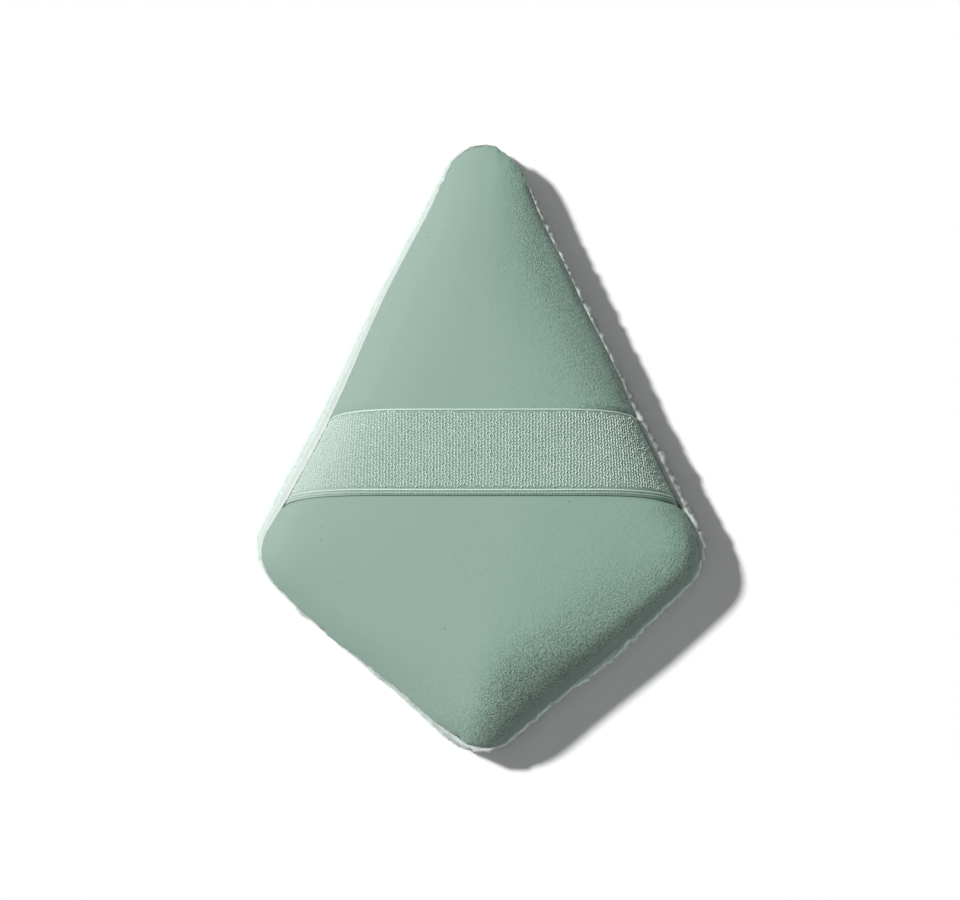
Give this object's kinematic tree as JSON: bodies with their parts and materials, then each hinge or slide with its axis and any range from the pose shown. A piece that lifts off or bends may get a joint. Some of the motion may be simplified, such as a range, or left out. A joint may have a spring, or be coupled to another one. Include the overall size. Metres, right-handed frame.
{
  "type": "powder puff",
  "caption": "Kite-shaped cosmetic powder puff: smooth crowned face over a foam core, plush back, and a woven elastic band that holds it on the fingers.",
  "frame": {"origin": "middle of the plan, on the surface that the plush back rests on", "axes": "+Y towards the narrow tip of the kite, +Z out of the smooth face with the band, X along the band"},
  "size_m": [0.0666, 0.09, 0.0174],
  "materials": {
    "face_cloth": "fine sueded sage-green microfibre",
    "plush": "pale mint short plush pile",
    "foam": "off-white open-cell sponge",
    "elastic": "woven matte elastic tape with corded edges",
    "thread": "matte polyester sewing thread"
  },
  "bodies": {
    "pad": {"face_cover": "face_cloth", "back_cover": "plush", "foam_core": "foam", "seam_needle_thread": "thread", "seam_bobbin_thread": "thread", "closing_thread": "thread", "band_tack_left": "thread", "band_tack_right": "thread"},
    "band": {"finger_band": "elastic"}
  },
  "joints": [
    {"name": "band_lift", "type": "slide", "parent": "pad", "child": "band", "axis": [0, 0, 1], "range_m": [0, 0.012], "stiffness_N_per_m": 250, "deforming": ["finger_band"]}
  ]
}
